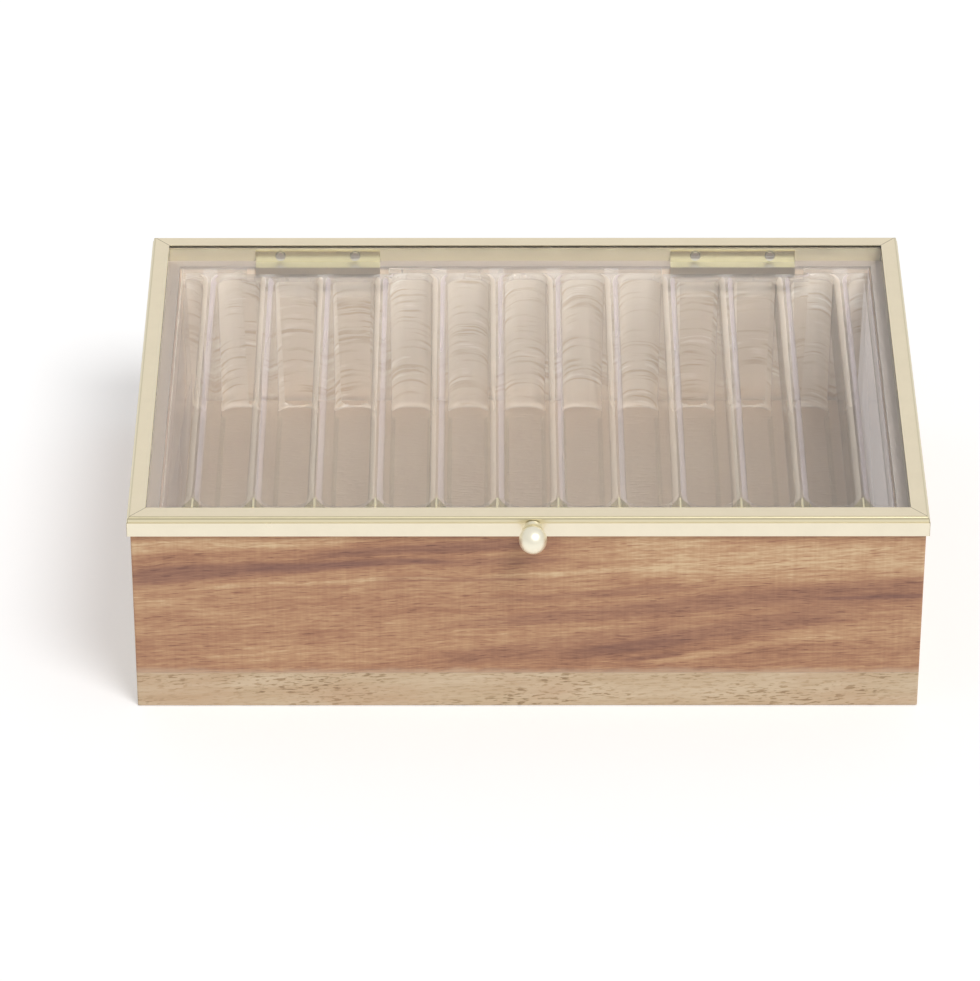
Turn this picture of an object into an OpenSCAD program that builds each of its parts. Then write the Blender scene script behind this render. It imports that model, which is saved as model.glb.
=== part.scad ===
/* [Lid] */
// Width of the closed lid, left to right
lid_w = 300; // [250:1:400]
// Depth of the closed lid, front to rear
lid_d = 200; // [150:1:260]
// How far the lid stands out past the wood on each side
lid_overhang = 1.2; // [0.5:0.1:2]
// Width of the folded brass bar seen from above
bar_w = 7; // [5:0.1:10]
// Height of the folded brass bar
bar_h = 5.9; // [5:0.1:9]
// Wall of the folded brass bar
bar_wall = 0.7; // [0.5:0.1:1]
// Height of the glazing channel on the bars
channel_h = 2.4; // [2.2:0.1:3.5]
// How far the channel is set back from the face of the bar
channel_setback = 0.4; // [0.2:0.1:0.8]
// Radius of the outer top edge of the channel
channel_round = 1.3; // [0.6:0.1:1.6]
// Thickness of the channel's lips above and below the glass
channel_lip = 0.35; // [0.3:0.05:0.5]
// Thickness of the channel's outer web
channel_web = 0.8; // [0.6:0.1:1.2]
// Play between the glass and its channel, all round
glass_play = 0.05; // [0.02:0.01:0.1]

/* [Box] */
// Thickness of the pale bottom panel
panel_t = 15.8; // [10:0.1:20]
// Height of the walls above the bottom panel
wall_h = 63.9; // [50:0.1:90]
// Thickness of the walls
wall_t = 10; // [8:0.1:14]
// Radius of the eased outer edges of the wood
edge_round = 0.8; // [0.4:0.1:1.5]

/* [Divider insert] */
// Number of ribs
rib_count = 12; // [8:1:14]
// Width of the flat line along a rib's crest
rib_top = 0.8; // [0.6:0.1:1.6]
// Width of a rib where its rounded crest begins
rib_shoulder = 5.8; // [5:0.1:6]
// Height of a rib's rounded crest
crest_h = 2.8; // [2.4:0.1:3.5]
// Width of a rib at the pocket floor
rib_base = 6.4; // [6:0.1:7.5]
// Thickness of the insert's skin
skin_t = 1.8; // [1.4:0.1:2.2]
// Play between the insert and the wooden walls
insert_play = 0.9; // [0.5:0.1:1.5]
// Step from the wall's top down to the insert's top
insert_drop = 0.2; // [0.1:0.1:1]
// Width of the ledge along the insert's front
front_ledge = 6.6; // [5:0.1:8]
// Width of the rim along the insert's rear
rear_rim = 2.2; // [2:0.1:4]
// Width of the rim along the insert's ends
end_rim = 1.8; // [1.6:0.1:3]
// Slope of the pocket ends, in mm over their height
end_draft = 1; // [0.5:0.1:2]
// Corner radius of a pocket at its floor, in plan
pocket_corner = 5.8; // [4:0.1:6]
// Radius between the pocket's floor and its sides
pocket_fillet = 2; // [1:0.1:3]

/* [Hinges] */
// Distance from the lid's end to the middle of a hinge
hinge_inset = 66.6; // [50:0.1:90]
// Length of a hinge
hinge_len = 50; // [40:0.5:54]
// Thickness of the hinge leaves
leaf_t = 0.8; // [0.6:0.1:1]
// Height of the upper leaf's flange on the inside of the bar
flange_h = 5; // [4.4:0.1:5.5]
// Height of the lower leaf's flange on the inside of the rear wall
lip_h = 4.6; // [3:0.1:7]
// Outer radius of the hinge barrel
barrel_r = 2; // [1.8:0.1:2.5]
// Radius of the hinge pin
pin_r = 1; // [0.8:0.05:1.2]
// Play of the pin in the barrel, in radius
pin_play = 0.04; // [0.02:0.01:0.08]
// Gap between the barrel and the rear bar
barrel_gap = 0.4; // [0.3:0.1:0.8]
// Number of knuckles in a barrel
knuckle_count = 5; // [3:2:7]
// Gap between neighbouring knuckles
knuckle_gap = 0.3; // [0.2:0.05:0.5]
// Distance between the two screws of a leaf
screw_spacing = 30; // [20:0.5:36]
// Radius of the hinge screws' shanks
screw_r = 0.9; // [0.7:0.1:1.1]
// Radius of the hinge screws' heads
screw_head_r = 1.9; // [1.6:0.1:2.1]
// Height of the round heads on the upper leaf
screw_head_h = 0.9; // [0.6:0.1:1.2]
// Length of the wood screws
wood_screw_len = 10; // [8:0.5:14]
// Length of a leaf screw beyond the wall of the bar
screw_tail = 2; // [1:0.1:3]
// Width of the slot in a screw's head
slot_w = 0.5; // [0.4:0.1:0.7]
// Depth of the slot in a screw's head
slot_d = 0.4; // [0.3:0.1:0.5]
// Room around the hinge in the insert, lengthwise at each end
notch_room = 3.5; // [2:0.1:5]
// Depth of the insert's notch behind the hinge, front to rear
notch_d = 4.7; // [3:0.1:6]
// Height of the insert's notch
notch_h = 8; // [6:0.1:12]

/* [Knob] */
// Distance of the knob to the right of the lid's middle
knob_x = 1.7; // [-10:0.1:10]
// Radius of the ball
ball_r = 5.25; // [4:0.05:7]
// Distance from the bar's face to the middle of the ball
ball_reach = 6.7; // [4.5:0.1:9]
// Radius of the collar
collar_r = 4.1; // [3:0.1:5]
// Thickness of the collar
collar_t = 1.8; // [0.8:0.1:2]
// Radius of the knob's screw
knob_screw_r = 1.5; // [1:0.1:1.7]
// Radius of the knob screw's head
knob_head_r = 2.6; // [2.2:0.1:2.9]
// Height of the knob screw's head
knob_head_h = 1.4; // [1:0.1:2]
// Play of a screw's shank in its hole, in radius
screw_play = 0.05; // [0.02:0.01:0.1]

/* [Hidden] */
$fn = 64;
corner_steps = 8;
// A hair's breadth, and how far a cut runs past a face
eps = 0.01;
past = 1;

// The wood, inside the lid's overhang
box_w = lid_w - 2 * lid_overhang;
box_d = lid_d - 2 * lid_overhang;
box_top = panel_t + wall_h;
inner_w = box_w - 2 * wall_t;
inner_d = box_d - 2 * wall_t;

// Levels of the lid, with its underside on the walls
channel_z = box_top + bar_h;
glass_t = channel_h - 2 * channel_lip - 2 * glass_play;
channel_w = bar_w - channel_setback;
channel_out_w = lid_w - 2 * channel_setback;
channel_out_d = lid_d - 2 * channel_setback;
glass_w = channel_out_w - 2 * (channel_web + glass_play);
glass_d = channel_out_d - 2 * (channel_web + glass_play);

// The insert's outside and its levels. The pockets at its two ends are half as wide.
insert_w = inner_w - 2 * insert_play;
insert_d = inner_d - 2 * insert_play;
insert_top = box_top - insert_drop;
floor_z = panel_t + skin_t;
shoulder_z = insert_top - crest_h;
rib_slope = (rib_base - rib_shoulder) / 2;
flare = (rib_shoulder - rib_top) / 2;
rib_pitch = insert_w / rib_count;
rib_x = [for (i = [0 : rib_count - 1]) (i - (rib_count - 1) / 2) * rib_pitch];
pocket_front = front_ledge + flare + end_draft - insert_d / 2;
pocket_rear = insert_d / 2 - rear_rim - flare - end_draft;
end_pocket_in = rib_x[rib_count - 1] + rib_base / 2;
end_pocket_out = insert_w / 2 - end_rim - end_draft;
core_base = rib_base - 2 * skin_t;
core_top = rib_shoulder - 2 * skin_t;
core_tip = 0.2;
fillet_steps = 3;
crest_steps = 4;

// The hinge axis, level with the top of the walls, just behind the lid
hinge_x = lid_w / 2 - hinge_inset;
axis_y = lid_d / 2 + barrel_gap + barrel_r;
axis_z = box_top;
knuckle_len = (hinge_len - (knuckle_count - 1) * knuckle_gap) / knuckle_count;
bar_inner_y = lid_d / 2 - bar_w;
bar_mid_z = box_top + bar_h / 2;
ball_y = -lid_d / 2 - ball_reach;

// A rectangle with its middle at the origin and round corners
module round_rect(w, d, r) {
    square([w - 2 * r, d], center = true);
    square([w, d - 2 * r], center = true);
    for (x = [-1, 1], y = [-1, 1])
        translate([x * (w / 2 - r), y * (d / 2 - r)]) circle(r = r);
}

// What a mitred bar keeps: its own quarter of a frame that is w by d outside.
// The bar lies along the front, and the mitres start at the outer corners.
module mitre(w, d, width, z, h) {
    translate([0, -d / 2, z])
        linear_extrude(height = h)
            polygon([[-w / 2, 0], [w / 2, 0], [w / 2 - width, width], [width - w / 2, width]]);
}

// One side of a frame: a profile drawn inward and upward, run along the front
module frame_side(w, d, width, z, h) {
    intersection() {
        mitre(w, d, width, z, h);
        translate([-w / 2, -d / 2, z])
            rotate([90, 0, 90])
                linear_extrude(height = w) children();
    }
}

// The same side, turned to one of the four sides of the frame
module on_side(side) {
    turn = side == "front" ? 0 : side == "right" ? 90 : side == "rear" ? 180 : 270;
    rotate([0, 0, turn]) children();
}

function along(side, w, d) = side == "front" || side == "rear" ? w : d;

// Wood

module eased_outline(z, h) {
    translate([0, 0, z])
        linear_extrude(height = h) round_rect(box_w, box_d, edge_round);
}

module bottom_panel() {
    color([0.83, 0.72, 0.58])
        difference() {
            eased_outline(0, panel_t);
            for (side = ["front", "right", "rear", "left"])
                on_side(side)
                    translate([0, -along(side, box_d, box_w) / 2, 0])
                        rotate([45, 0, 0])
                            cube([2 * box_w, edge_round, edge_round], center = true);
        }
}

module wall_profile() {
    difference() {
        square([wall_t, wall_h]);
        translate([0, wall_h]) square(edge_round * 2, center = true);
    }
    translate([edge_round, wall_h - edge_round]) circle(r = edge_round);
}

module wall(side) {
    w = along(side, box_w, box_d);
    d = along(side, box_d, box_w);
    color([0.72, 0.52, 0.40])
        intersection() {
            on_side(side) frame_side(w, d, wall_t, panel_t, wall_h) wall_profile();
            eased_outline(panel_t, wall_h);
        }
}

// A wall with the seat for a hinge's lower leaf and holes for its screws
module rear_wall() {
    color([0.72, 0.52, 0.40])
        difference() {
            wall("rear");
            for (x = [-hinge_x, hinge_x])
                translate([x, 0, 0]) {
                    leaf_seat();
                    wood_screw_places() cylinder(r = screw_r, h = wood_screw_len + eps);
                }
        }
}

// Divider insert

// One level of a pocket: how far it has grown beyond the floor's outline across and
// lengthwise, its height, and the change of its corner radius
function level(across, lengthwise, z, turn) = [across, lengthwise, z, turn];
pocket_levels = [
    for (i = [0 : fillet_steps])
        let (a = 90 * i / fillet_steps, in = pocket_fillet * (1 - sin(a)))
            level(-in, -in, floor_z + pocket_fillet * (1 - cos(a)), -in),
    for (i = [0 : crest_steps])
        let (a = 90 * i / crest_steps, out = flare * (1 - cos(a)))
            level(rib_slope + out, end_draft + out, shoulder_z + crest_h * sin(a), out),
    level(rib_slope + flare, end_draft + flare, insert_top + past, flare)
];

// A round corner of a rectangle, as points around its middle
function corner_points(x, y, r, start) =
    [for (i = [0 : corner_steps])
        let (a = start + 90 * i / corner_steps) [x + r * cos(a), y + r * sin(a)]];

// The outline of a pocket from x0 to x1 at one of its levels
function outline(x0, x1, at) =
    let (r = pocket_corner + at[3],
         left = x0 - at[0] + r, right = x1 + at[0] - r,
         front = pocket_front - at[1] + r, rear = pocket_rear + at[1] - r,
         flat = concat(corner_points(right, rear, r, 0), corner_points(left, rear, r, 90),
                       corner_points(left, front, r, 180), corner_points(right, front, r, 270)))
        [for (p = flat) [p[0], p[1], at[2]]];

// A pocket from x0 to x1 at its floor, with a round foot and a mouth that flares to the crests
module pocket(x0, x1) {
    n = 4 * (corner_steps + 1);
    top = len(pocket_levels) - 1;
    points = [for (at = pocket_levels) each outline(x0, x1, at)];
    sides = [for (k = [0 : top - 1], i = [0 : n - 1])
        [k * n + i, (k + 1) * n + i, (k + 1) * n + (i + 1) % n, k * n + (i + 1) % n]];
    polyhedron(points, concat([[for (i = [0 : n - 1]) i]], sides,
                              [[for (i = [n - 1 : -1 : 0]) top * n + i]]), convexity = 4);
}

// The narrow pocket beyond the last rib, round only at the rib's side
module end_pocket() {
    from = rib_x[rib_count - 1];
    intersection() {
        pocket(end_pocket_in, end_pocket_out + 2 * pocket_corner);
        hull() {
            translate([from, -insert_d / 2, floor_z])
                cube([end_pocket_out - from, insert_d, eps]);
            translate([from, -insert_d / 2, insert_top])
                cube([end_pocket_out + end_draft - from, insert_d, past]);
        }
    }
}

// The hollow under a rib, a thin wedge open at the underside
module rib_core(x) {
    y0 = pocket_front - end_draft + skin_t;
    y1 = pocket_rear + end_draft - skin_t;
    translate([x, y1, 0])
        rotate([90, 0, 0])
            linear_extrude(height = y1 - y0)
                polygon([[-core_base / 2, panel_t - eps], [core_base / 2, panel_t - eps],
                         [core_top / 2, shoulder_z], [core_tip / 2, insert_top - skin_t],
                         [-core_tip / 2, insert_top - skin_t], [-core_top / 2, shoulder_z]]);
}

// The hollow under the front ledge, open at the underside
module ledge_core() {
    translate([skin_t - insert_w / 2, skin_t - insert_d / 2, panel_t - eps])
        cube([insert_w - 2 * skin_t, front_ledge + flare - 2 * skin_t,
              insert_top - skin_t - panel_t + eps]);
}

// Room for a hinge at the insert's rear edge, with an extra margin for its skin
module notch(x, margin) {
    w = hinge_len + 2 * notch_room + 2 * margin;
    d = notch_d + margin;
    h = notch_h + margin;
    translate([x - w / 2, insert_d / 2 - d, insert_top - h]) cube([w, d + past, h + 2 * past]);
}

module divider_insert() {
    color([0.86, 0.88, 0.88, 0.4])
        difference() {
            translate([0, 0, panel_t])
                linear_extrude(height = insert_top - panel_t)
                    round_rect(insert_w, insert_d, edge_round);
            difference() {
                union() {
                    for (i = [0 : rib_count - 2])
                        pocket(rib_x[i] + rib_base / 2, rib_x[i + 1] - rib_base / 2);
                    for (m = [0, 1]) mirror([m, 0, 0]) end_pocket();
                }
                for (x = [-hinge_x, hinge_x]) notch(x, skin_t);
            }
            for (x = rib_x) rib_core(x);
            ledge_core();
            for (x = [-hinge_x, hinge_x]) notch(x, 0);
        }
}

// Lid

module glass_pane() {
    color([0.85, 0.9, 0.9, 0.3])
        translate([-glass_w / 2, -glass_d / 2, channel_z + channel_lip + glass_play])
            cube([glass_w, glass_d, glass_t]);
}

module bar_profile() {
    difference() {
        square([bar_w, bar_h]);
        translate([bar_wall, bar_wall]) square([bar_w - 2 * bar_wall, bar_h - 2 * bar_wall]);
    }
}

module lid_bar(side) {
    on_side(side)
        frame_side(along(side, lid_w, lid_d), along(side, lid_d, lid_w), bar_w, box_top, bar_h)
            bar_profile();
}

module lid_front_bar() {
    color([0.88, 0.82, 0.62])
        difference() {
            lid_bar("front");
            translate([knob_x, -lid_d / 2 - eps, bar_mid_z])
                rotate([-90, 0, 0]) cylinder(r = knob_screw_r + screw_play, h = bar_w + 2 * eps);
        }
}

// The rear bar is notched below for the upper leaves and drilled for their screws
module lid_rear_bar() {
    color([0.88, 0.82, 0.62])
        difference() {
            lid_bar("rear");
            for (x = [-hinge_x, hinge_x]) {
                translate([x - hinge_len / 2 - knuckle_gap, bar_inner_y - eps, box_top - eps])
                    cube([hinge_len + 2 * knuckle_gap, bar_w + 2 * eps, leaf_t + eps]);
                translate([x, bar_inner_y - eps, 0])
                    leaf_screw_places() cylinder(r = screw_r + screw_play, h = bar_wall + 2 * eps);
            }
        }
}

module lid_left_bar() {
    color([0.88, 0.82, 0.62]) lid_bar("left");
}

module lid_right_bar() {
    color([0.88, 0.82, 0.62]) lid_bar("right");
}

// A channel open towards the glass, with its outer top edge rounded over
module channel_profile() {
    groove_h = channel_h - 2 * channel_lip;
    difference() {
        union() {
            square([channel_w, channel_h - channel_round]);
            translate([channel_round, 0]) square([channel_w - channel_round, channel_h]);
            translate([channel_round, channel_h - channel_round]) circle(r = channel_round);
        }
        translate([channel_web, channel_lip]) square([channel_w, groove_h]);
        translate([-past, -past - channel_round])
            square([2 * channel_w, past + channel_round]);
    }
}

module lid_channel(side) {
    color([0.88, 0.84, 0.72])
        on_side(side)
            frame_side(along(side, channel_out_w, channel_out_d),
                       along(side, channel_out_d, channel_out_w), channel_w, channel_z, channel_h)
                channel_profile();
}

// Knob

module knob_ball() {
    color([0.9, 0.84, 0.66])
        translate([knob_x, ball_y, bar_mid_z])
            rotate([-90, 0, 0])
                difference() {
                    rotate_extrude(convexity = 4)
                        intersection() {
                            circle(r = ball_r);
                            translate([0, -ball_r])
                                square([ball_r, ball_r + ball_reach - collar_t]);
                        }
                    cylinder(r = knob_screw_r, h = ball_reach);
                }
}

module knob_collar() {
    color([0.88, 0.82, 0.62])
        translate([knob_x, -lid_d / 2 - collar_t, bar_mid_z])
            rotate([-90, 0, 0])
                difference() {
                    cylinder(r = collar_r, h = collar_t);
                    translate([0, 0, -eps])
                        cylinder(r = knob_screw_r + screw_play, h = collar_t + 2 * eps);
                }
}

// The screw comes from inside the bar, and its threaded end sits in the ball
module knob_screw() {
    head_y = -lid_d / 2 + bar_w;
    color([0.75, 0.75, 0.74])
        translate([knob_x, head_y, bar_mid_z])
            rotate([90, 0, 0])
                difference() {
                    union() {
                        cylinder(r = knob_screw_r, h = bar_w + ball_reach);
                        translate([0, 0, -knob_head_h]) cylinder(r = knob_head_r, h = knob_head_h);
                    }
                    translate([0, 0, -knob_head_h])
                        cube([2 * knob_head_r + past, slot_w, 2 * slot_d], center = true);
                }
}

// Hinges, drawn around x = 0 at their place in the row, then moved to each side

// Where the wood screws stand, along the middle of the rear wall's top
module wood_screw_places() {
    for (x = [-1, 1])
        translate([x * screw_spacing / 2, box_d / 2 - wall_t / 2, box_top - wood_screw_len])
            children();
}

// Where the leaf screws stand, pointing from the box's inside to the rear
module leaf_screw_places() {
    for (x = [-1, 1])
        translate([x * screw_spacing / 2, 0, bar_mid_z]) rotate([-90, 0, 0]) children();
}

// The cut in the rear wall that the lower leaf lies in
module leaf_seat() {
    y0 = inner_d / 2;
    translate([-hinge_len / 2, y0 - past, box_top - leaf_t])
        cube([hinge_len, wall_t + 2 * past, leaf_t + past]);
}

// Every other knuckle of the barrel, from the first or from the second
module knuckles(first) {
    for (i = [first : 2 : knuckle_count - 1])
        translate([i * (knuckle_len + knuckle_gap) - hinge_len / 2, axis_y, axis_z])
            rotate([0, 90, 0]) cylinder(r = barrel_r, h = knuckle_len);
}

// What a leaf leaves free: the bore, and room round the other leaf's knuckles
module barrel_room(other) {
    translate([-hinge_len / 2 - past, axis_y, axis_z])
        rotate([0, 90, 0]) cylinder(r = pin_r + pin_play, h = hinge_len + 2 * past);
    for (i = [other : 2 : knuckle_count - 1])
        translate([i * (knuckle_len + knuckle_gap) - hinge_len / 2 - knuckle_gap,
                   axis_y - barrel_r - barrel_gap, axis_z - barrel_r])
            cube([knuckle_len + 2 * knuckle_gap, 2 * barrel_r + barrel_gap + past, 2 * barrel_r]);
}

module lower_leaf() {
    y0 = inner_d / 2 - leaf_t;
    difference() {
        union() {
            translate([-hinge_len / 2, y0, box_top - leaf_t])
                cube([hinge_len, axis_y - y0, leaf_t]);
            translate([-hinge_len / 2, y0, box_top - lip_h]) cube([hinge_len, leaf_t, lip_h]);
            knuckles(0);
        }
        barrel_room(1);
        wood_screw_places() wood_screw_shape(screw_play);
    }
}

module upper_leaf() {
    y0 = bar_inner_y - leaf_t;
    difference() {
        union() {
            translate([-hinge_len / 2, y0, box_top]) cube([hinge_len, axis_y - y0, leaf_t]);
            translate([-hinge_len / 2, y0, box_top]) cube([hinge_len, leaf_t, flange_h]);
            knuckles(1);
        }
        barrel_room(0);
        translate([0, y0 - eps, 0])
            leaf_screw_places() cylinder(r = screw_r + screw_play, h = leaf_t + 2 * eps);
    }
}

// A countersunk screw whose flat head ends level with the leaf's top
module wood_screw_shape(play) {
    cylinder(r = screw_r + play, h = wood_screw_len);
    translate([0, 0, wood_screw_len - leaf_t])
        cylinder(r1 = screw_r + play, r2 = screw_head_r + play, h = leaf_t);
}

module wood_screws() {
    wood_screw_places()
        difference() {
            wood_screw_shape(0);
            translate([0, 0, wood_screw_len])
                cube([2 * screw_head_r + past, slot_w, 2 * slot_d], center = true);
        }
}

module leaf_screws() {
    shank_len = leaf_t + bar_wall + screw_tail;
    translate([0, bar_inner_y - leaf_t, 0])
        leaf_screw_places()
            difference() {
                union() {
                    cylinder(r = screw_r, h = shank_len);
                    translate([0, 0, -screw_head_h])
                        cylinder(r = screw_head_r, h = screw_head_h);
                }
                translate([0, 0, -screw_head_h])
                    cube([2 * screw_head_r + past, slot_w, 2 * slot_d], center = true);
            }
}

module hinge_pin() {
    translate([-hinge_len / 2, axis_y, axis_z])
        rotate([0, 90, 0]) cylinder(r = pin_r, h = hinge_len);
}

bottom_panel();
wall("front");  // front_wall
rear_wall();
wall("left");  // left_wall
wall("right");  // right_wall
divider_insert();
glass_pane();
lid_front_bar();
lid_rear_bar();
lid_left_bar();
lid_right_bar();
lid_channel("front");  // lid_front_channel
lid_channel("rear");  // lid_rear_channel
lid_channel("left");  // lid_left_channel
lid_channel("right");  // lid_right_channel
knob_ball();
knob_collar();
knob_screw();
color([0.8, 0.76, 0.62]) translate([-hinge_x, 0, 0]) lower_leaf();  // left_hinge_lower_leaf
color([0.86, 0.8, 0.6]) translate([-hinge_x, 0, 0]) upper_leaf();  // left_hinge_upper_leaf
color([0.8, 0.76, 0.6]) translate([-hinge_x, 0, 0]) hinge_pin();  // left_hinge_pin
color([0.8, 0.76, 0.6]) translate([-hinge_x, 0, 0]) wood_screws();  // left_hinge_wood_screws
color([0.8, 0.78, 0.7]) translate([-hinge_x, 0, 0]) leaf_screws();  // left_hinge_leaf_screws
color([0.8, 0.76, 0.62]) translate([hinge_x, 0, 0]) lower_leaf();  // right_hinge_lower_leaf
color([0.86, 0.8, 0.6]) translate([hinge_x, 0, 0]) upper_leaf();  // right_hinge_upper_leaf
color([0.8, 0.76, 0.6]) translate([hinge_x, 0, 0]) hinge_pin();  // right_hinge_pin
color([0.8, 0.76, 0.6]) translate([hinge_x, 0, 0]) wood_screws();  // right_hinge_wood_screws
color([0.8, 0.78, 0.7]) translate([hinge_x, 0, 0]) leaf_screws();  // right_hinge_leaf_screws
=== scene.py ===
"""Looks of the tea bag organizer box: wood, pale brass, glass and clear moulded plastic."""

import math

import bmesh
import bpy
from mathutils.bvhtree import BVHTree
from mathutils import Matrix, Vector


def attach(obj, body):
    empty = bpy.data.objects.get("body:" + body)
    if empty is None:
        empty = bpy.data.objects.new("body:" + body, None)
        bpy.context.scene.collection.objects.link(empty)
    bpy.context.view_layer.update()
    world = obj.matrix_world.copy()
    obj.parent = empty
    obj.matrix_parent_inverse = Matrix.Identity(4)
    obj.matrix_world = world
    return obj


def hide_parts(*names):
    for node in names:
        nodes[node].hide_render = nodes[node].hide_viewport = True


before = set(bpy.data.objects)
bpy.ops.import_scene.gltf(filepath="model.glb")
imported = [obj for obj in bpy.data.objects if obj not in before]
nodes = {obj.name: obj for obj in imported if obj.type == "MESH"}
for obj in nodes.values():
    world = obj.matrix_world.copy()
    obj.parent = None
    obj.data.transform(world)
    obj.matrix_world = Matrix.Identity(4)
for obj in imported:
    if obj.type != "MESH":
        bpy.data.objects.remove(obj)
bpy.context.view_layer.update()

MM = 0.001
WHITE = (1.0, 1.0, 1.0)
BLACK = (0.0, 0.0, 0.0)

# Places on the box. x and y are measured from its middle, z from the table.
PANEL_TOP = 15.8 * MM
WALL_TOP = 79.7 * MM
INNER_FACES = {"x": 138.8 * MM, "y": 88.8 * MM}
LID_X = 150 * MM
LID_Y = 100 * MM
OPENING_X = 143.45 * MM
OPENING_Y = 93.45 * MM
HINGE_X = 83.4 * MM
SCREW_X = 15 * MM
SCREW_Z = 82.65 * MM
RIB_PITCH = 22.9833 * MM
CREST_FOOT = 76.7 * MM
END_WALL_X = 135 * MM


class Number:
    """A number that changes over a surface. Sums with it add their Math nodes."""

    def __init__(self, shading, socket):
        self.shading = shading
        self.socket = socket

    def __add__(self, other):
        return self.shading.maths("ADD", self, other)

    def __sub__(self, other):
        return self.shading.maths("SUBTRACT", self, other)

    def __mul__(self, other):
        return self.shading.maths("MULTIPLY", self, other)

    def __truediv__(self, other):
        return self.shading.maths("DIVIDE", self, other)

    def __pow__(self, other):
        return self.shading.maths("POWER", self, other)

    def __rsub__(self, other):
        return self.shading.maths("SUBTRACT", other, self)

    __radd__ = __add__
    __rmul__ = __mul__

    def __abs__(self):
        return self.shading.maths("ABSOLUTE", self)

    def rise(self, low, high):
        """0 up to low, 1 from high on, and a smooth rise between. It falls where low is above high."""
        ramp = {"From Min": min(low, high), "From Max": max(low, high), "Value": self}
        if low > high:
            ramp["To Min"] = 1.0
            ramp["To Max"] = 0.0
        smooth = {"interpolation_type": "SMOOTHSTEP"}
        return Number(self.shading, self.shading.add("ShaderNodeMapRange", smooth, ramp).outputs[0])


class Shading:
    """The shader nodes of one material, or of the world around the box."""

    def __init__(self, owner):
        owner.use_nodes = True
        self.tree = owner.node_tree
        self.tree.nodes.clear()

    def add(self, kind, settings=None, sockets=None):
        """Adds a node of this kind. Its settings come first, then its sockets' values or links."""
        node = self.tree.nodes.new(kind)
        for name, value in (settings or {}).items():
            if name == "stops":
                self.set_stops(node.color_ramp, value)
            else:
                setattr(node, name, value)
        for name, value in (sockets or {}).items():
            self.join(value, node.inputs[name])
        return node

    def set_stops(self, ramp, stops):
        while len(ramp.elements) < len(stops):
            ramp.elements.new(1.0)
        for element, (at, colour) in zip(ramp.elements, stops):
            element.position = at
            element.color = (*colour, 1.0)

    def join(self, value, socket):
        if isinstance(value, Number):
            value = value.socket
        if isinstance(value, bpy.types.NodeSocket):
            self.tree.links.new(value, socket)
        elif socket.type == "RGBA" and len(value) == 3:
            socket.default_value = (*value, 1.0)
        else:
            socket.default_value = value

    def maths(self, operation, *values):
        sockets = dict(enumerate(values))
        return Number(self, self.add("ShaderNodeMath", {"operation": operation}, sockets).outputs[0])

    def split(self, vector):
        parts = self.add("ShaderNodeSeparateXYZ", {}, {0: vector})
        return [Number(self, socket) for socket in parts.outputs]

    def mix(self, first, second, share):
        """The first colour where share is 0, the second where it is 1."""
        return self.add("ShaderNodeMix", {"data_type": "RGBA"}, {0: share, 6: first, 7: second}).outputs[2]


class Finish(Shading):
    """One material in the making. x, y and z are the place on the box, in metres."""

    def __init__(self, name):
        self.material = bpy.data.materials.new(name)
        super().__init__(self.material)
        self.x, self.y, self.z = self.split(self.add("ShaderNodeTexCoord").outputs["Object"])

    def facing(self):
        """How far the surface faces right, rearward and up, each from -1 to 1."""
        return self.split(self.add("ShaderNodeTexCoord").outputs["Normal"])

    def place(self, x, y, z):
        return self.add("ShaderNodeCombineXYZ", {}, {0: x, 1: y, 2: z}).outputs[0]

    def noise(self, place, detail=2.0, rough=0.5):
        """Noise between about 0 and 1 at a place that is already stretched to the grain's scale."""
        sockets = {"Vector": place, "Scale": 1.0, "Detail": detail, "Roughness": rough}
        return Number(self, self.add("ShaderNodeTexNoise", {}, sockets).outputs["Fac"])

    def ramp(self, value, stops):
        return self.add("ShaderNodeValToRGB", {"stops": stops}, {0: value}).outputs[0]

    def bump(self, height, depth):
        sockets = {"Height": height, "Distance": depth, "Strength": 1.0}
        return self.add("ShaderNodeBump", {}, sockets).outputs[0]

    def close(self, sockets):
        """Ends the material with a Principled shader and gives the material back."""
        return self.show(self.add("ShaderNodeBsdfPrincipled", {}, sockets))

    def show(self, shader):
        """Ends the material with this shader and gives the material back."""
        self.add("ShaderNodeOutputMaterial", {}, {"Surface": shader.outputs[0]})
        return self.material


# Wood

HEARTWOOD = [
    (0.0, (0.190, 0.085, 0.060)),
    (0.25, (0.330, 0.160, 0.100)),
    (0.5, (0.480, 0.248, 0.145)),
    (0.75, (0.620, 0.370, 0.210)),
    (1.0, (0.800, 0.580, 0.350)),
]
SAPWOOD = [
    (0.0, (0.300, 0.200, 0.110)),
    (0.3, (0.520, 0.370, 0.225)),
    (0.6, (0.660, 0.495, 0.320)),
    (1.0, (0.790, 0.640, 0.460)),
]
# Painted shade on the walls' top edges, which lie in the lid bars' shade: greyer and darker than the wood.
TOP_PAINTED_SHADE = (0.35, 0.295, 0.255)
# Painted shade on the inner faces near the walls' top and near the panel.
INNER_RIM_SHADE = (0.44, 0.37, 0.32)
# Tones of the walls' inner faces: paler wood, brightened as painted light, most on the right wall, whose
# inner face stands in shadow.
REAR_INNER_PAINTED_LIGHT = (0.90, 0.755, 0.60)
LEFT_INNER_PAINTED_LIGHT = (0.72, 0.60, 0.49)
RIGHT_INNER_PAINTED_LIGHT = (0.97, 0.85, 0.74)
STREAK_PURPLE = (0.30, 0.160, 0.130)
PALE_FOOT = (0.66, 0.48, 0.34)
ROSY_SAPWOOD = (0.62, 0.40, 0.25)
PANEL_INNER = (0.47, 0.38, 0.31)

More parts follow.
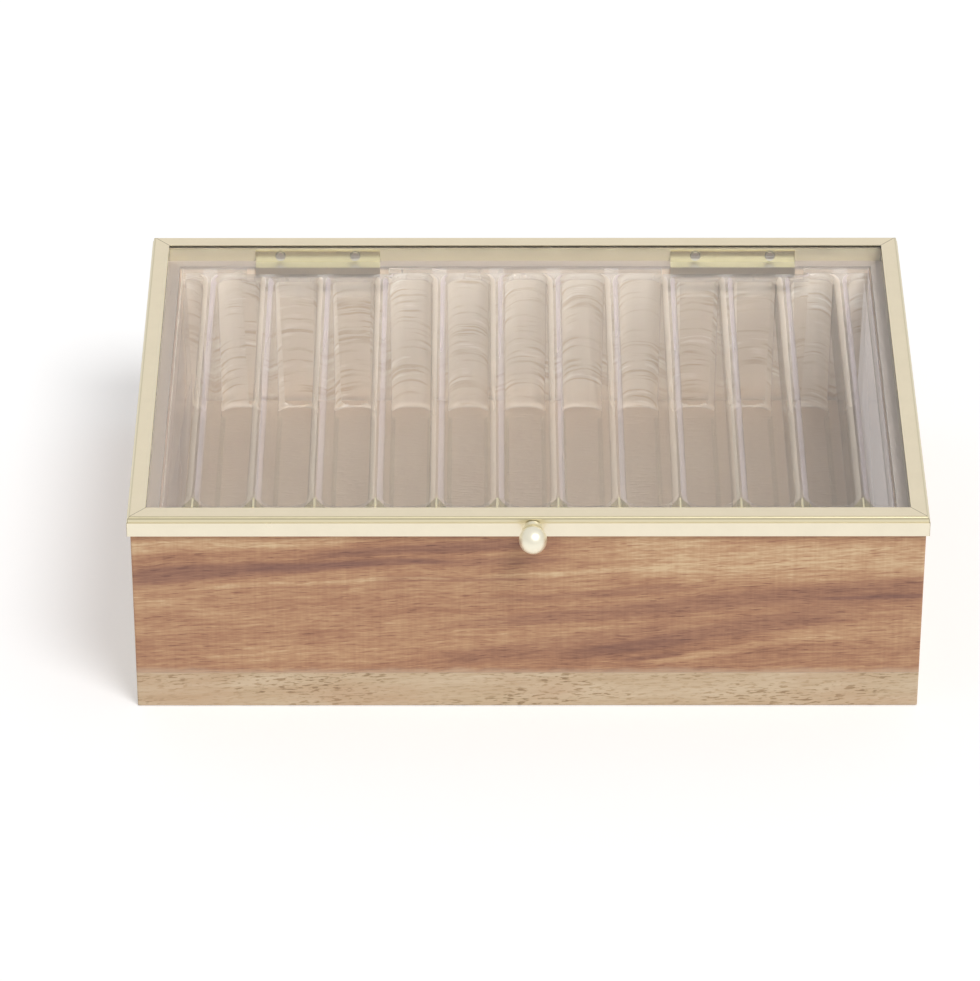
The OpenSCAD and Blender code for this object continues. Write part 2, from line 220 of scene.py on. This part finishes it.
# Streaks of the front board. Each has its start across and up, its end across and up, its half width
# at the start and at the end, all in mm, and its strength.
DARK_STREAKS = [
    (-156, 59.5, -36, 67.5, 5.4, 1.6, 0.95),
    (-104, 64.0, -58, 66.0, 2.0, 1.2, 0.4),
    (-80, 70.0, 6, 76.0, 2.2, 2.8, 0.7),
    (-46, 66.5, 10, 68.5, 1.6, 2.0, 0.5),
    (-56, 58.5, 4, 60.5, 1.6, 1.0, 0.4),
    (-30, 22.0, 60, 34.0, 4.0, 9.0, 0.35),
    (-20, 38.0, 156, 57.0, 3.0, 6.5, 0.5),
    (20, 24.0, 120, 44.0, 3.0, 6.0, 0.5),
    (-12, 50.0, 60, 55.0, 1.6, 2.4, 0.4),
    (112, 50.0, 158, 53.5, 0.8, 1.3, 0.7),
    (36, 21.0, 58, 24.0, 1.0, 1.8, 0.5),
]
PALE_STREAKS = [
    (-160, 72.0, -66, 77.5, 4.8, 3.4, 1.5),
    (-120, 55.0, -20, 60.0, 1.2, 1.0, 0.9),
    (24, 73.0, 165, 69.0, 6.5, 9.0, 1.35),
    (-16, 61.5, 56, 64.5, 1.4, 2.0, 0.9),
    (40, 62.5, 120, 62.5, 3.0, 6.0, 0.8),
    (46, 19.5, 120, 34.0, 1.6, 2.4, 1.0),
    (96, 32.0, 165, 38.0, 5.0, 7.0, 0.8),
    (-150, 44.0, -60, 40.0, 3.0, 6.0, 0.4),
]


def streaks(finish, along, up, waver, lines):
    """How strong the streaks are here. Each lies along a slanting line and fades at its ends."""
    total = None
    for x0, z0, x1, z1, half0, half1, strength in lines:
        t = (along - x0 * MM) / ((x1 - x0) * MM)
        middle = t * ((z1 - z0) * MM) + z0 * MM
        half = t * ((half1 - half0) * MM) + half0 * MM
        off = abs(up - middle + waver) / half
        ends = t.rise(-0.12, 0.12) * t.rise(1.15, 0.85)
        one = off.rise(1.25, 0.35) * ends * strength
        total = one if total is None else total + one
    return total


def board(name, axes, seed, inside, dark=(), pale=(), tone=0.6, lean=0.06, pale_foot=False,
          top_light_and_shade=TOP_PAINTED_SHADE):
    """A brown board. axes names the directions along, across and through it. inside is the tone of
    its inner face, paler wood brightened as painted light. The tone of its upper edge is painted
    shade, lighter as painted light where that top stands in shadow. dark and pale are streaks of
    its outer face. Its inner face is darker near its top and its foot, as painted shade."""
    f = Finish(name)
    u, v, w = (getattr(f, axis) for axis in axes)
    face = INNER_FACES[axes[2]]
    waver = f.noise(f.place(u * 14, v * 30, w * 20 + seed), 2.0) - 0.5
    drift = v + u * -lean + waver * 0.006
    bands = f.noise(f.place(u * 3.5, drift * 60, w * 40 + seed * 2), 3.0, 0.55)
    fibres = f.noise(f.place(u * 55, drift * 900, w * 300 + seed), 3.0, 0.6)
    hair = f.noise(f.place(u * 240, v * 2600, w * 900 + seed), 2.0, 0.5)
    pores = f.noise(f.place(u * 150, drift * 1500, w * 500 + seed * 3), 1.0).rise(0.60, 0.74)
    mottle = f.noise(f.place(u * 90, v * 130, w * 60 + seed), 2.0) - 0.5
    chatter = f.noise(f.place(u * 900, v * 40, w * 40 + seed), 1.0) - 0.5
    level = (bands - 0.5) * 0.8 + (fibres - 0.5) * 0.75 + (hair - 0.5) * 0.5 + mottle * 0.3 + tone
    level = level + chatter * 0.14 - pores * 0.24
    if dark:
        shade = streaks(f, u, v, waver * 0.007, dark)
        level = level - shade * 0.3 + streaks(f, u, v, waver * 0.009, pale) * 0.2
        colour = f.mix(f.ramp(level, HEARTWOOD), STREAK_PURPLE, shade * 0.36)
    else:
        colour = f.ramp(level, HEARTWOOD)
    if pale_foot:
        edge = f.noise(f.place(u * 60, w * 60, seed), 3.0, 0.6) * 0.005 - 0.0025
        foot = (v + edge).rise(PANEL_TOP + 3 * MM, PANEL_TOP)
        colour = f.mix(colour, PALE_FOOT, foot * 0.6)
    waves = f.noise(f.place(u * 24, v * 210 + waver * 1.5, w * 30 + seed), 3.0, 0.6).rise(0.45, 0.7)
    # The inner face takes the inside tone, brightened as painted light.
    inner = abs(w).rise(face + 0.6 * MM, face + 0.3 * MM)
    colour = f.mix(colour, inside, inner * (0.95 - waves * 0.15))
    # Painted shade on the inner face near the top and near the panel.
    rim_shade = f.z.rise(WALL_TOP - 2.2 * MM, WALL_TOP - 0.5 * MM)
    rim_shade = rim_shade + f.z.rise(PANEL_TOP + 2.0 * MM, PANEL_TOP + 0.6 * MM)
    colour = f.mix(colour, INNER_RIM_SHADE, inner * rim_shade)
    # Painted shade on the top edge. The right board's lighter tone is painted light on a top in shadow.
    top = f.z.rise(WALL_TOP - 0.2 * MM, WALL_TOP - 0.05 * MM)
    colour = f.mix(colour, top_light_and_shade, top * 0.95)
    return f.close({
        "Base Color": colour,
        "Roughness": (fibres - 0.5) * 0.2 + 0.55,
        "Normal": f.bump(fibres * 0.6 + hair * 0.3 - pores * 0.8, 0.06 * MM),
        "Specular IOR Level": 0.35,
    })


def pale_board(name):
    """The bottom panel: sapwood with short dark flecks in slanting drifts."""
    f = Finish(name)
    slant = f.z - f.x * 0.06
    waver = f.noise(f.place(f.x * 20, f.y * 20, f.z * 60), 2.0) - 0.5
    broad = f.noise(f.place(f.x * 16, f.y * 12, slant * 150 + waver * 0.4), 3.0, 0.55)
    fibres = f.noise(f.place(f.x * 70, f.y * 420, slant * 1000 + waver * 2), 3.0, 0.6)
    grain = f.noise(f.place(f.x * 240, f.y * 900, slant * 1300 + waver * 3), 2.0)
    flecks = grain.rise(0.52, 0.62)
    patches = f.noise(f.place(f.x * 34, f.y * 34, f.z * 120), 2.0).rise(0.4, 0.62)
    rosy = f.noise(f.place(f.x * 22, f.y * 22, f.z * 60 + 7.0), 2.0).rise(0.45, 0.7)
    level = (broad - 0.5) * 0.8 + (fibres - 0.5) * 0.7 + 0.72
    upper = f.z.rise(PANEL_TOP - 0.2 * MM, PANEL_TOP - 0.05 * MM)
    level = level - flecks * (patches * 0.42 + 0.2) * (1 - upper * 0.8)
    colour = f.mix(f.ramp(level, SAPWOOD), ROSY_SAPWOOD, rosy * 0.4)
    return f.close({
        "Base Color": f.mix(colour, PANEL_INNER, upper * 0.75),
        "Roughness": (fibres - 0.5) * 0.2 + 0.6,
        "Normal": f.bump(fibres * 0.6 - flecks * 0.7, 0.06 * MM),
        "Specular IOR Level": 0.35,
    })


front_board = board("front_board", "xzy", 1.7, REAR_INNER_PAINTED_LIGHT, DARK_STREAKS, PALE_STREAKS, pale_foot=True)
# The rear and right boards' top edge tones are painted shade and painted light.
rear_board = board("rear_board", "xzy", 5.3, REAR_INNER_PAINTED_LIGHT, lean=-0.04, top_light_and_shade=(0.40, 0.34, 0.295))
left_board = board("left_board", "yzx", 9.1, LEFT_INNER_PAINTED_LIGHT, lean=0.05)
right_board = board("right_board", "yzx", 13.9, RIGHT_INNER_PAINTED_LIGHT, lean=-0.05, top_light_and_shade=(0.47, 0.41, 0.37))
bottom_board = pale_board("bottom_board")


# Brass

# Painted reflection on the faces that look into the lid: olive, standing in for the dark inside of the box
# that they mirror.
INNER_PAINTED_REFLECTION = (0.74, 0.66, 0.46)
# Painted shade on the rounded front edge of the channels.
LIP_PAINTED_SHADE = (0.50, 0.44, 0.28)
MITRE_GAP = (0.30, 0.26, 0.17)
SCREW_GAP_SHADE = (0.16, 0.14, 0.11)


def brass(name, base, satin, edge=None, inner=None, mottle=0.05, rings=False):
    """Pale metal. edge is the tone of what faces outward, painted shade that takes the highlight off
    the channels' edges, whose rounded front edge gets a darker painted shade. inner is the tone of
    what faces into the lid, a painted reflection, smoother and less metallic. rings draws dark
    rings around the leaf screws' heads: their gaps, with painted shade."""
    f = Finish(name)
    _, ny, nz = f.facing()
    cloud = f.noise(f.place(f.x * 90, f.y * 90, f.z * 90), 3.0, 0.6)
    grain = f.noise(f.place(f.x * 700, f.y * 700, f.z * 700), 2.0)
    rub = f.noise(f.place(f.x * 300, f.y * 300, f.z * 40), 2.0)
    dull = tuple(0.86 * c for c in base)
    colour = f.mix(base, dull, (cloud - 0.35) * (mottle * 14) + (grain - 0.5) * mottle * 4)
    rough = satin + (cloud - 0.5) * 0.1 + (rub - 0.5) * 0.08
    if edge or inner:
        upright = abs(nz).rise(0.99, 0.93)
        within = abs(f.x).rise(OPENING_X, OPENING_X - 0.15 * MM)
        within = within * abs(f.y).rise(OPENING_Y, OPENING_Y - 0.15 * MM)
    # The channels' outward faces take the edge tone, painted shade that takes off their highlight, and their
    # rounded front edge a darker painted shade.
    if edge:
        lip_shade = upright * abs(nz).rise(0.1, 0.3) * (ny * -1).rise(0.2, 0.4)
        colour = f.mix(colour, edge, upright * (1 - within))
        colour = f.mix(colour, LIP_PAINTED_SHADE, lip_shade * 0.8)
    # What faces into the lid takes the painted reflection, smoother and less metallic so that it shows.
    if inner:
        colour = f.mix(colour, inner, upright * within)
        rough = rough * (1 - within) + (rub * 0.06 + 0.08) * within
    if edge or inner:
        mitre = abs(abs(f.x) - abs(f.y) - (LID_X - LID_Y)).rise(0.26 * MM, 0.10 * MM)
        corner = abs(f.x).rise(LID_X - 10 * MM, LID_X - 8 * MM)
        corner = corner * abs(f.y).rise(LID_Y - 10 * MM, LID_Y - 8 * MM)
        colour = f.mix(colour, MITRE_GAP, mitre * corner * 0.8)
    # A dark ring around each leaf screw's head: its gap, with painted shade.
    if rings:
        beside = abs(abs(abs(f.x) - HINGE_X) - SCREW_X)
        reach = (beside * beside + (f.z - SCREW_Z) ** 2) ** 0.5
        colour = f.mix(colour, SCREW_GAP_SHADE, reach.rise(2.3 * MM, 1.9 * MM) * 0.6)
    return f.close({
        "Base Color": colour,
        "Metallic": 1 - upright * within * 0.6 if inner else 1.0,
        "Roughness": rough,
        "Normal": f.bump(grain * 0.5 + cloud, 0.01 * MM),
    })


bar_brass = brass("bar_brass", (0.88, 0.805, 0.635), 0.30, inner=INNER_PAINTED_REFLECTION)
# The channels' edge tone is painted shade.
channel_brass = brass("channel_brass", (0.93, 0.825, 0.62), 0.36, edge=(0.73, 0.66, 0.47), inner=INNER_PAINTED_REFLECTION)
knob_brass = brass("knob_brass", (0.93, 0.88, 0.72), 0.42, mottle=0.02)
hinge_brass = brass("hinge_brass", (0.78, 0.71, 0.44), 0.24, rings=True)
leaf_steel = brass("leaf_steel", (0.90, 0.87, 0.80), 0.3, mottle=0.03)
screw_metal = brass("screw_metal", (0.74, 0.72, 0.68), 0.16, mottle=0.03)


# Glass and clear plastic

def lamp_ray(finish):
    """1 for the rays that bring light from the lamps, 0 for all others."""
    return Number(finish, finish.add("ShaderNodeLightPath").outputs["Is Shadow Ray"])


def clear_glass(name):
    """See-through and solid. Rays from the lamps pass with only the pane's tint taken from them."""
    f = Finish(name)
    haze = f.noise(f.place(f.x * 25, f.y * 25, f.z * 25), 2.0)
    swirl = f.noise(f.place(f.x * 30, f.y * 30, f.z * 30), 1.0)
    solid = f.add("ShaderNodeBsdfPrincipled", {}, {
        "Base Color": f.mix((0.99, 0.99, 0.985), WHITE, haze * 0.15),
        "Roughness": haze.rise(0.45, 0.75) * 0.012,
        "IOR": 1.45,
        "Transmission Weight": 1.0,
        "Normal": f.bump(swirl, 0.002 * MM),
    })
    passing = f.add("ShaderNodeBsdfTransparent", {}, {"Color": (0.985, 0.99, 0.985)})
    sockets = {0: lamp_ray(f), 1: solid.outputs[0], 2: passing.outputs[0]}
    return f.show(f.add("ShaderNodeMixShader", {}, sockets))


pane_glass = clear_glass("pane_glass")

RIPPLE_LINE = (0.66, 0.55, 0.42)
GLINT = (1.0, 0.97, 0.90)
# The right end wall's faint glow: painted light on a wall in shade.
END_WALL_GLOW = (0.66, 0.64, 0.65)


def moulded_plastic():
    """Clear plastic with a faint milkiness, and light and shade painted over it. The round crests of
    the ribs carry painted light on their left faces, warm, and painted shade on their right, lilac,
    with a dark olive line of painted shade along their foot and a dark olive painted shadow at their
    front end. Dark bands below the crests, dark patches on the right-hand ribs and the floor fillets
    near the front are painted shade. The rear wall is brightened as painted light and has arched
    ripples and painted glints. The pocket floors' round rear corners are painted as light as the
    rear wall, and the end walls are brightened as painted light, the right one glowing."""
    f = Finish("moulded_plastic")
    nx, ny, nz = f.facing()
    off = (f.maths("FRACT", f.x / RIB_PITCH + 20) - 0.5) * RIB_PITCH
    amid = (f.maths("FRACT", f.x / RIB_PITCH + 20.5) - 0.5) * RIB_PITCH
    cloud = f.noise(f.place(f.x * 40, f.y * 40, f.z * 40), 3.0, 0.55)
    drawn = f.noise(f.place(f.x * 500, f.y * 40, f.z * 25), 2.0)
    arched = f.z + amid * amid * 26
    ripple = f.noise(f.place(f.x * 26, f.y * 60, arched * 560 + cloud * 3), 3.0, 0.6)
    patch = f.noise(f.place(f.x * 70, 0.0, f.z * 80), 1.0)
    lines = ripple.rise(0.52, 0.60) * patch.rise(0.32, 0.6)
    glints = ripple.rise(0.46, 0.38) * patch.rise(0.5, 0.66)
    crest = f.z.rise(CREST_FOOT + 0.1 * MM, CREST_FOOT + 0.5 * MM)
    rib = crest * abs(ny).rise(0.45, 0.15)
    wall = (1 - crest) * abs(nz).rise(0.6, 0.3)
    # Painted shade: a dark olive line on the crests' near-upright faces, at their foot.
    steep_shade = abs(nx).rise(0.86, 0.96) * rib
    # Painted light on the crests' left faces and painted shade on their right faces, both more milky toward
    # the rear.
    left = (nx * -1).rise(0.06, 0.2) * rib
    right = nx.rise(0.06, 0.2) * rib
    # A painted highlight along the rear rim, and the crests' painted light carried over the rim's top.
    rear_rim_highlight = (ny * -1).rise(0.3, 0.7) * crest * f.y.rise(0.0, 10 * MM)
    top = crest * nz.rise(0.97, 0.995)
    rear_rim_light = top * f.y.rise(74 * MM, 80 * MM) * abs(off).rise(3.2 * MM, 2.6 * MM)
    # Painted shade at the front end of each crest, a dark olive patch tapering to the rear, with a painted
    # highlight down its middle.
    taper = abs(off) + (f.y + 81 * MM) * 0.6
    front_shade_triangle = crest * f.y.rise(-66 * MM, -74 * MM) * taper.rise(3.9 * MM, 3.4 * MM)
    front_highlight_line = front_shade_triangle * abs(off).rise(0.5 * MM, 0.2 * MM)
    outer = abs(f.x).rise(END_WALL_X - 1 * MM, END_WALL_X)
    far = f.y.rise(-40 * MM, 70 * MM)
    left_wall = (nx * -1).rise(0.90, 0.98) * wall
    right_wall = nx.rise(0.90, 0.98) * wall
    # The rear wall: a bright tone whose milky haze is raised as painted light, with painted glints on its
    # ripples.
    rear_wall = (ny * -1).rise(0.1, 0.4) * (1 - crest) * f.y.rise(0.0, 10 * MM)
    low = f.z.rise(23 * MM, 19.5 * MM)
    # Painted light: the rear corners of the pocket floors, beyond their rounding, take the rear wall's bright
    # tone.
    corner_x = f.maths("MAXIMUM", abs(amid) - 2.3 * MM, 0.0)
    corner_y = f.maths("MAXIMUM", f.y - 74.2 * MM, 0.0)
    floor_corner_light = ((corner_x * corner_x + corner_y * corner_y) ** 0.5).rise(5.7 * MM, 6.1 * MM)
    floor_corner_light = floor_corner_light * low * f.y.rise(70 * MM, 71 * MM) * (1 - rear_wall)
    # Painted shade: a dark olive band on the floor fillets, except near the rear.
    fillet_shade = low * abs(nz).rise(0.05, 0.3) * abs(nz).rise(0.995, 0.96) * f.y.rise(74 * MM, 70 * MM)
    # Painted shade: dark bands on the pocket walls below the crests.
    under_crest_shade = (left_wall + right_wall) * (1 - outer) * f.z.rise(48 * MM, 74 * MM)
    # Painted shade: a dark patch on the left-facing walls of the right-hand ribs.
    reach = (f.x - 62 * MM) * 0.36
    shade_wedge = left_wall * (1 - outer) * f.x.rise(45 * MM, 95 * MM) * (f.z + reach).rise(73.5 * MM, 77 * MM)
    # Tones laid over the plastic, most of them painted light and shade.
    layers = [
        ((0.94, 0.82, 0.68), left),
        ((0.72, 0.63, 0.68), right),
        ((0.96, 0.90, 0.84), rear_rim_highlight),
        ((0.92, 0.86, 0.84), rear_rim_light),
        ((0.42, 0.34, 0.20), steep_shade),
        ((0.24, 0.20, 0.08), front_shade_triangle),
        ((0.80, 0.72, 0.45), front_highlight_line),
        ((0.98, 0.88, 0.77), rear_wall),
        (RIPPLE_LINE, rear_wall * lines),
        (GLINT, rear_wall * glints),
        ((0.84, 0.78, 0.75), right_wall + left_wall),
        ((0.45, 0.36, 0.26), under_crest_shade * 0.8),
        # The end walls, lilac on the right one, brightened as painted light.
        ((0.80, 0.77, 0.78), left_wall * outer),
        ((0.20, 0.16, 0.13), shade_wedge),
        ((0.42, 0.37, 0.25), fillet_shade),
        ((0.98, 0.88, 0.77), floor_corner_light),
    ]
    colour = (0.70, 0.64, 0.58)
    for tone, where in layers:
        colour = f.mix(colour, tone, where)
    # Painted light: the right end wall glows faintly.
    glow = f.mix(BLACK, END_WALL_GLOW, left_wall * outer)
    # How milky the plastic is: an even faint haze, raised as painted light on the crests, the rear rim and
    # wall, the end walls and the floor corners, and raised on the painted shade so that it shows.
    haze_and_painted_light = left * (far * 0.16 + 0.22) + right * (far * 0.12 + 0.2) + steep_shade * 0.14 + rear_rim_highlight * 0.2
    haze_and_painted_light = haze_and_painted_light + rear_rim_light * 0.2 + front_shade_triangle * 0.5 + rear_wall * (lines * 0.08 + glints * 0.08 + 0.38)
    haze_and_painted_light = haze_and_painted_light + right_wall * (outer * 0.3 + 0.1) + left_wall * (outer * 0.42 + 0.1) + under_crest_shade * 0.14
    haze_and_painted_light = haze_and_painted_light + shade_wedge * 0.5 + fillet_shade * 0.18 + floor_corner_light * 0.34 + 0.07
    haze_and_painted_light = haze_and_painted_light + (cloud - 0.5) * 0.06 + (drawn - 0.5) * 0.05
    solid = f.add("ShaderNodeBsdfPrincipled", {}, {
        "Base Color": colour,
        "Roughness": 0.12,
        "Emission Color": glow,
        "Emission Strength": 0.4,
        "Normal": f.bump(cloud, 0.1 * MM),
    })
    passing = f.add("ShaderNodeBsdfTransparent", {}, {"Color": (0.985, 0.98, 0.975)})
    share = haze_and_painted_light * (1 - lamp_ray(f) * 0.7)
    sockets = {0: share, 1: passing.outputs[0], 2: solid.outputs[0]}
    return f.show(f.add("ShaderNodeMixShader", {}, sockets))


def insert_skin():
    """The upper skin of the divider insert: every face of the solid that has open air above it."""
    shape = bmesh.new()
    shape.from_mesh(nodes["divider_insert"].data)
    bmesh.ops.remove_doubles(shape, verts=shape.verts, dist=0.001 * MM)
    tree = BVHTree.FromBMesh(shape)
    up = Vector((0, 0, 1))
    hidden = []
    for face in shape.faces:
        start = face.calc_center_median() + face.normal * (0.02 * MM)
        if face.normal.z < -0.5 or tree.ray_cast(start, up)[0] is not None:
            hidden.append(face)
    bmesh.ops.delete(shape, geom=hidden, context="FACES")
    mesh = bpy.data.meshes.new("insert_skin")
    shape.to_mesh(mesh)
    shape.free()
    mesh.shade_smooth()
    mesh.set_sharp_from_angle(angle=math.radians(32))
    mesh.materials.append(moulded_plastic())
    skin = bpy.data.objects.new("insert_skin", mesh)
    bpy.context.scene.collection.objects.link(skin)
    bevel = skin.modifiers.new("soft_rims", "BEVEL")
    bevel.width = 0.35 * MM
    bevel.segments = 2
    bevel.limit_method = "ANGLE"
    bevel.angle_limit = math.radians(50)
    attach(skin, "base")
    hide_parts("divider_insert")


insert_skin()


def dress(material, *names):
    for name in names:
        nodes[name].data.materials.clear()
        nodes[name].data.materials.append(material)


def ease(width, *names):
    """Takes the sharpness off a piece's edges, so that they catch the light."""
    for name in names:
        bevel = nodes[name].modifiers.new("eased_edges", "BEVEL")
        bevel.width = width
        bevel.segments = 2
        bevel.limit_method = "ANGLE"
        bevel.angle_limit = math.radians(40)


SIDES = ("front", "rear", "left", "right")
BARS = [f"lid_{side}_bar" for side in SIDES]
CHANNELS = [f"lid_{side}_channel" for side in SIDES]
HINGES = [f"{side}_hinge_{part}" for side in ("left", "right") for part in ("upper_leaf", "pin")]
LEAVES = [f"{side}_hinge_lower_leaf" for side in ("left", "right")]
SCREWS = [f"{side}_hinge_{part}" for side in ("left", "right") for part in ("wood_screws", "leaf_screws")]

dress(front_board, "front_wall")
dress(rear_board, "rear_wall")
dress(left_board, "left_wall")
dress(right_board, "right_wall")
dress(bottom_board, "bottom_panel")
dress(bar_brass, *BARS)
dress(channel_brass, *CHANNELS)
dress(knob_brass, "knob_ball", "knob_collar")
dress(hinge_brass, *HINGES)
dress(leaf_steel, *LEAVES)
dress(screw_metal, *SCREWS, "knob_screw")
dress(pane_glass, "glass_pane")
ease(0.12 * MM, *BARS, *CHANNELS)
ease(0.2 * MM, *HINGES, *LEAVES)


# Floor and light

SHOWN_RAYS = ("Is Camera Ray", "Is Glossy Ray", "Is Transmission Ray")
FLOOR_GLOW = 0.26
FLOOR_REACH = 12.0
SKY_LIGHT = 0.65
SHOWN_SKY = 1.0
SUN_LIGHT = 1.3
SUN_SPREAD = math.radians(24)
SUN_FROM = (0.332, -0.436, 0.835)


def seen(shading):
    """1 for rays from the camera and those that glass and metal send on, 0 for light on the box."""
    path = shading.add("ShaderNodeLightPath")
    rays = [Number(shading, path.outputs[name]) for name in SHOWN_RAYS]
    return shading.maths("MINIMUM", rays[0] + rays[1] + rays[2], 1.0)


def paper_floor():
    f = Finish("paper_floor")
    tooth = f.noise(f.place(f.x * 500, f.y * 500, 0.0), 2.0)
    paper = f.add("ShaderNodeBsdfDiffuse", {}, {"Color": (0.9, 0.9, 0.9), "Normal": f.bump(tooth, 0.01 * MM)})
    glow = f.add("ShaderNodeEmission", {}, {"Color": WHITE, "Strength": seen(f) * FLOOR_GLOW})
    return f.show(f.add("ShaderNodeAddShader", {}, {0: paper.outputs[0], 1: glow.outputs[0]}))


floor_mesh = bpy.data.meshes.new("paper_floor")
corners = [(-1, -1), (1, -1), (1, 1), (-1, 1)]
floor_mesh.from_pydata([(FLOOR_REACH * x, FLOOR_REACH * y, 0.0) for x, y in corners], [], [(0, 1, 2, 3)])
floor_mesh.materials.append(paper_floor())
floor = bpy.data.objects.new("paper_floor", floor_mesh)
bpy.context.scene.collection.objects.link(floor)

world = bpy.data.worlds.new("studio")
bpy.context.scene.world = world
sky = Shading(world)
strength = seen(sky) * (SHOWN_SKY - SKY_LIGHT) + SKY_LIGHT
background = sky.add("ShaderNodeBackground", {}, {"Strength": strength})
sky.add("ShaderNodeOutputWorld", {}, {"Surface": background.outputs[0]})

sun = bpy.data.objects.new("window_light", bpy.data.lights.new("window_light", "SUN"))
sun.data.energy = SUN_LIGHT
sun.data.angle = SUN_SPREAD
sun.rotation_euler = Vector(SUN_FROM).to_track_quat("Z", "Y").to_euler()
bpy.context.scene.collection.objects.link(sun)


# Camera, fitted to the photograph's edges

CAMERA_PLACE = (-0.01564, -1.76815, 1.23999)
LENS = 199.65
SENSOR = 36.0
LOOKING_DOWN = 0.5993
CAMERA_TURN = -0.0008

camera = bpy.data.objects.new("camera", bpy.data.cameras.new("camera"))
camera.location = CAMERA_PLACE
camera.rotation_euler = (math.pi / 2 - LOOKING_DOWN, 0.0, CAMERA_TURN)
camera.data.lens = LENS
camera.data.sensor_width = SENSOR
bpy.context.scene.collection.objects.link(camera)
bpy.context.scene.camera = camera
bpy.context.scene.view_settings.view_transform = "Standard"
